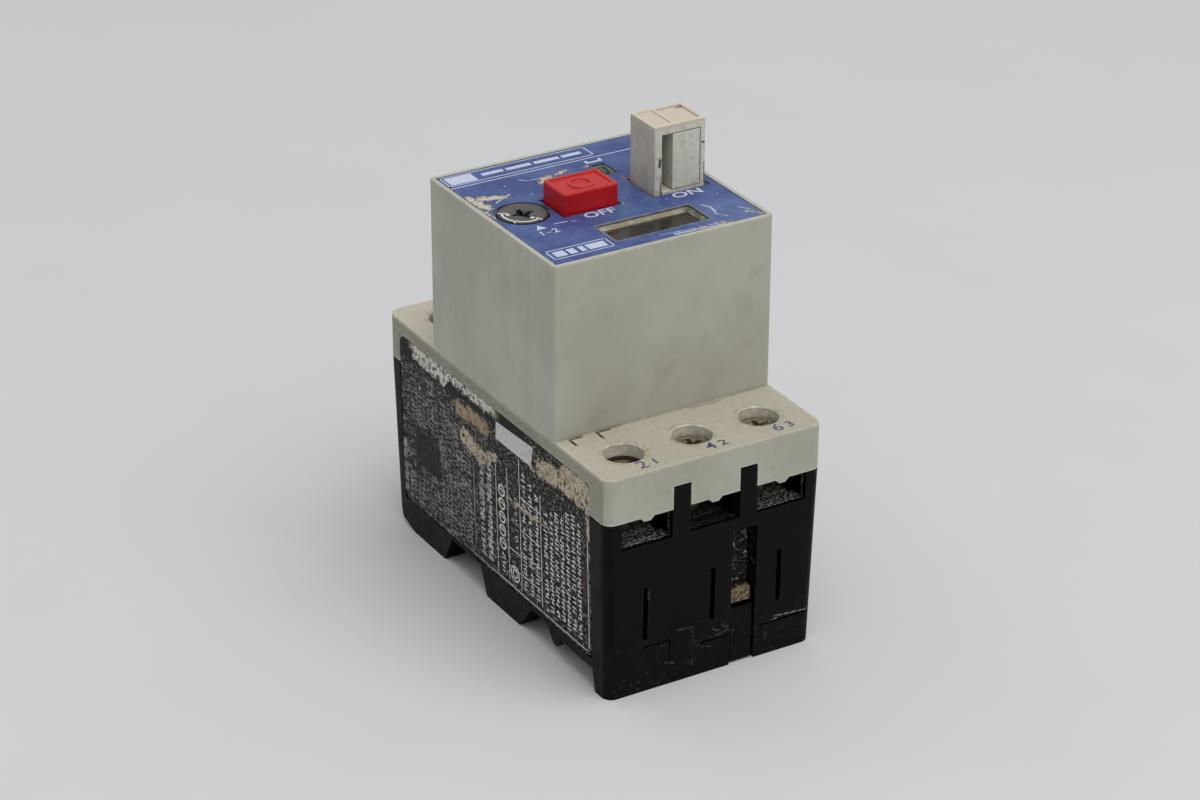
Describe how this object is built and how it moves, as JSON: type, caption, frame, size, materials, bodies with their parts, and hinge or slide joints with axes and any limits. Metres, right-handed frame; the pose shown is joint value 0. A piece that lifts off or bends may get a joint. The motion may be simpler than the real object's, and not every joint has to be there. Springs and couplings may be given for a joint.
{
  "type": "motor protection breaker",
  "caption": "Rail-mounted motor protection breaker with push buttons, current dial, marker window and screw terminals at both ends of a stepped moulded case.",
  "frame": {"origin": "centre of the footprint, on the plane of the rail-side feet", "axes": "+Z out of the front panel, +Y towards the line terminals (odd numbers), -Y towards the load terminals (even numbers), X across the poles with START on the +X side"},
  "size_m": [0.0446, 0.08, 0.0906],
  "materials": {
    "cover_grey": "worn light grey moulding",
    "start_grey": "yellowed light grey moulding",
    "base_black": "black moulding with fine sheen",
    "panel_blue": "blue printed plate, chipped at the edges",
    "label_black": "black printed film, peeled and stained",
    "window_clear": "smoky clear pane",
    "card_olive": "faded card",
    "stop_red": "satin red moulding",
    "dial_grey": "dark grey moulding",
    "test_green": "grey green moulding",
    "cream_moulding": "cream moulding",
    "brown_moulding": "brown phenolic moulding",
    "spring_steel": "drawn wire",
    "steel": "punched and plated sheet",
    "screw_steel": "dull zinc plating",
    "rusty_steel": "rusted and grimy steel",
    "brass": "tarnished brass",
    "copper": "tarnished copper",
    "bimetal_strip": "rolled strip with heater winding"
  },
  "bodies": {
    "housing": {"base_housing": "base_black", "front_cover": "cover_grey", "faceplate": "panel_blue", "side_label": "label_black", "window_lens": "window_clear", "marker_card": "card_olive", "mechanism_plate_left": "steel", "mechanism_plate_right": "steel", "rail_latch_spring": "rusty_steel", "start_spring": "spring_steel", "stop_spring": "spring_steel", "line_terminal_1": "brass", "line_terminal_2": "brass", "line_terminal_3": "brass", "load_terminal_1": "brass", "load_terminal_2": "brass", "load_terminal_3": "brass", "magnet_coil_1": "copper", "magnet_coil_2": "copper", "magnet_coil_3": "copper", "bimetal_1": "bimetal_strip", "bimetal_2": "bimetal_strip", "bimetal_3": "bimetal_strip", "arc_chute_1": "steel", "arc_chute_2": "steel", "arc_chute_3": "steel"},
    "start_button": {"start_button": "start_grey"},
    "padlock_slide": {"padlock_slide": "start_grey"},
    "stop_button": {"stop_button": "stop_red"},
    "setting_dial": {"setting_dial": "dial_grey", "setting_cam": "brass"},
    "test_lever": {"test_lever": "test_green"},
    "drive_rocker": {"drive_rocker": "cream_moulding"},
    "latch_lever": {"latch_lever": "steel"},
    "trip_bar": {"trip_bar": "cream_moulding"},
    "contact_carrier": {"contact_carrier": "brown_moulding", "moving_contact_1": "copper", "moving_contact_2": "copper", "moving_contact_3": "copper", "contact_spring_1": "spring_steel", "contact_spring_2": "spring_steel", "contact_spring_3": "spring_steel"},
    "rail_latch": {"rail_latch": "base_black"},
    "magnet_plunger_1": {"magnet_plunger_1": "steel"},
    "magnet_plunger_2": {"magnet_plunger_2": "steel"},
    "magnet_plunger_3": {"magnet_plunger_3": "steel"},
    "clamp_1": {"clamp_plate_1": "rusty_steel"},
    "screw_1": {"terminal_screw_1": "screw_steel"},
    "clamp_2": {"clamp_plate_2": "rusty_steel"},
    "screw_2": {"terminal_screw_2": "screw_steel"},
    "clamp_3": {"clamp_plate_3": "rusty_steel"},
    "screw_3": {"terminal_screw_3": "screw_steel"},
    "clamp_4": {"clamp_plate_4": "rusty_steel"},
    "screw_4": {"terminal_screw_4": "screw_steel"},
    "clamp_5": {"clamp_plate_5": "rusty_steel"},
    "screw_5": {"terminal_screw_5": "screw_steel"},
    "clamp_6": {"clamp_plate_6": "rusty_steel"},
    "screw_6": {"terminal_screw_6": "screw_steel"}
  },
  "joints": [
    {"name": "start_push", "type": "slide", "parent": "housing", "child": "start_button", "axis": [0, 0, 1], "range_m": [-0.0085, 0], "stiffness_N_per_m": 300, "springref_m": 0.002, "deforming": ["start_spring"]},
    {"name": "padlock_pull", "type": "slide", "parent": "start_button", "child": "padlock_slide", "axis": [0, -1, 0], "range_m": [0, 0.0062]},
    {"name": "stop_push", "type": "slide", "parent": "housing", "child": "stop_button", "axis": [0, 0, -1], "range_m": [0, 0.003], "stiffness_N_per_m": 400, "springref_m": -0.002, "deforming": ["stop_spring"]},
    {"name": "dial_turn", "type": "hinge", "parent": "housing", "child": "setting_dial", "pos_m": [-0.0155, 0.0003, 0.0777], "axis": [0, 0, 1], "range_deg": [-80, 70]},
    {"name": "test_push", "type": "slide", "parent": "housing", "child": "test_lever", "axis": [0, -1, 0], "range_m": [0, 0.002], "stiffness_N_per_m": 150, "springref_m": -0.002},
    {"name": "rocker_turn", "type": "hinge", "parent": "housing", "child": "drive_rocker", "pos_m": [0, 0.013, 0.044], "axis": [1, 0, 0], "range_deg": [0, 29.8]},
    {"name": "latch_lever_turn", "type": "hinge", "parent": "housing", "child": "latch_lever", "pos_m": [0, -0.008, 0.054], "axis": [1, 0, 0], "range_deg": [-21.2, 0]},
    {"name": "trip_bar_turn", "type": "hinge", "parent": "housing", "child": "trip_bar", "pos_m": [0, -0.015, 0.05], "axis": [1, 0, 0], "range_deg": [0, 14]},
    {"name": "carrier_travel", "type": "slide", "parent": "housing", "child": "contact_carrier", "axis": [0, 0, 1], "range_m": [-0.00345, 0]},
    {"name": "rail_latch_pull", "type": "slide", "parent": "housing", "child": "rail_latch", "axis": [0, -1, 0], "range_m": [0, 0.0025], "stiffness_N_per_m": 600, "springref_m": -0.002},
    {"name": "plunger_1_strike", "type": "slide", "parent": "housing", "child": "magnet_plunger_1", "axis": [0, 0, 1], "range_m": [0, 0.0023], "stiffness_N_per_m": 60, "springref_m": -0.002},
    {"name": "plunger_2_strike", "type": "slide", "parent": "housing", "child": "magnet_plunger_2", "axis": [0, 0, 1], "range_m": [0, 0.0023], "stiffness_N_per_m": 60, "springref_m": -0.002},
    {"name": "plunger_3_strike", "type": "slide", "parent": "housing", "child": "magnet_plunger_3", "axis": [0, 0, 1], "range_m": [0, 0.0023], "stiffness_N_per_m": 60, "springref_m": -0.002},
    {"name": "clamp_1_travel", "type": "slide", "parent": "housing", "child": "clamp_1", "axis": [0, 0, -1], "range_m": [0, 0.0063]},
    {"name": "screw_1_turn", "type": "hinge", "parent": "clamp_1", "child": "screw_1", "pos_m": [-0.0139, 0.0318, 0.0386], "axis": [0, 0, -1], "range_deg": [0, 3260]},
    {"name": "clamp_2_travel", "type": "slide", "parent": "housing", "child": "clamp_2", "axis": [0, 0, -1], "range_m": [-0.0012, 0.0051]},
    {"name": "screw_2_turn", "type": "hinge", "parent": "clamp_2", "child": "screw_2", "pos_m": [-0.0139, -0.0318, 0.0386], "axis": [0, 0, -1], "range_deg": [-637, 2643]},
    {"name": "clamp_3_travel", "type": "slide", "parent": "housing", "child": "clamp_3", "axis": [0, 0, -1], "range_m": [0, 0.0063]},
    {"name": "screw_3_turn", "type": "hinge", "parent": "clamp_3", "child": "screw_3", "pos_m": [0, 0.0318, 0.0386], "axis": [0, 0, -1], "range_deg": [0, 3260]},
    {"name": "clamp_4_travel", "type": "slide", "parent": "housing", "child": "clamp_4", "axis": [0, 0, -1], "range_m": [0, 0.0063]},
    {"name": "screw_4_turn", "type": "hinge", "parent": "clamp_4", "child": "screw_4", "pos_m": [0, -0.0318, 0.0386], "axis": [0, 0, -1], "range_deg": [0, 3260]},
    {"name": "clamp_5_travel", "type": "slide", "parent": "housing", "child": "clamp_5", "axis": [0, 0, -1], "range_m": [0, 0.0063]},
    {"name": "screw_5_turn", "type": "hinge", "parent": "clamp_5", "child": "screw_5", "pos_m": [0.0139, 0.0318, 0.0386], "axis": [0, 0, -1], "range_deg": [0, 3260]},
    {"name": "clamp_6_travel", "type": "slide", "parent": "housing", "child": "clamp_6", "axis": [0, 0, -1], "range_m": [0, 0.0063]},
    {"name": "screw_6_turn", "type": "hinge", "parent": "clamp_6", "child": "screw_6", "pos_m": [0.0139, -0.0318, 0.0386], "axis": [0, 0, -1], "range_deg": [0, 3260]}
  ],
  "couplings": [
    {"joint": "rocker_turn", "follows": "start_push", "rad_per_m": -60.8},
    {"joint": "carrier_travel", "follows": "start_push", "ratio": 0.4},
    {"joint": "latch_lever_turn", "follows": "stop_push", "rad_per_m": -122.5},
    {"joint": "trip_bar_turn", "follows": "test_push", "rad_per_m": 109.5},
    {"joint": "screw_1_turn", "follows": "clamp_1_travel", "rad_per_m": 8976},
    {"joint": "screw_2_turn", "follows": "clamp_2_travel", "rad_per_m": 8976},
    {"joint": "screw_3_turn", "follows": "clamp_3_travel", "rad_per_m": 8976},
    {"joint": "screw_4_turn", "follows": "clamp_4_travel", "rad_per_m": 8976},
    {"joint": "screw_5_turn", "follows": "clamp_5_travel", "rad_per_m": 8976},
    {"joint": "screw_6_turn", "follows": "clamp_6_travel", "rad_per_m": 8976}
  ]
}
